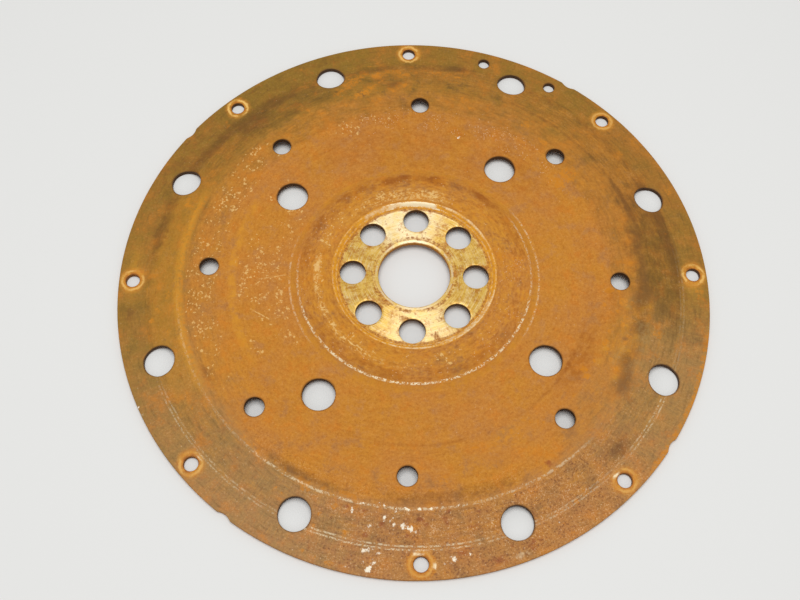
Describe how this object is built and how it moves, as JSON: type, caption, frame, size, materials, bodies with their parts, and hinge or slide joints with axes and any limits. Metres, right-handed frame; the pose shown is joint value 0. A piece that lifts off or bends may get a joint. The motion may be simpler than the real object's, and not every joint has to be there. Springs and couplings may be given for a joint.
{
  "type": "flexplate",
  "caption": "Round pressed-steel flexplate with a machined hub recess in a raised collar, a stepped web, a sloping band and a flat rim, pierced by rings of bolt and clearance holes.",
  "frame": {"origin": "centre of the rim's underside, the surface the plate lies on", "axes": "+Z along the crank axis, out of the recessed hub face; +Y towards the small web hole that is farthest from the viewer in the picture"},
  "size_m": [0.288, 0.288, 0.0083],
  "materials": {
    "rusted_steel": "surface rust over pressed steel, worn bare on the creases, with a bright machined hub face"
  },
  "bodies": {
    "root": {"flexplate": "rusted_steel"}
  },
  "joints": []
}
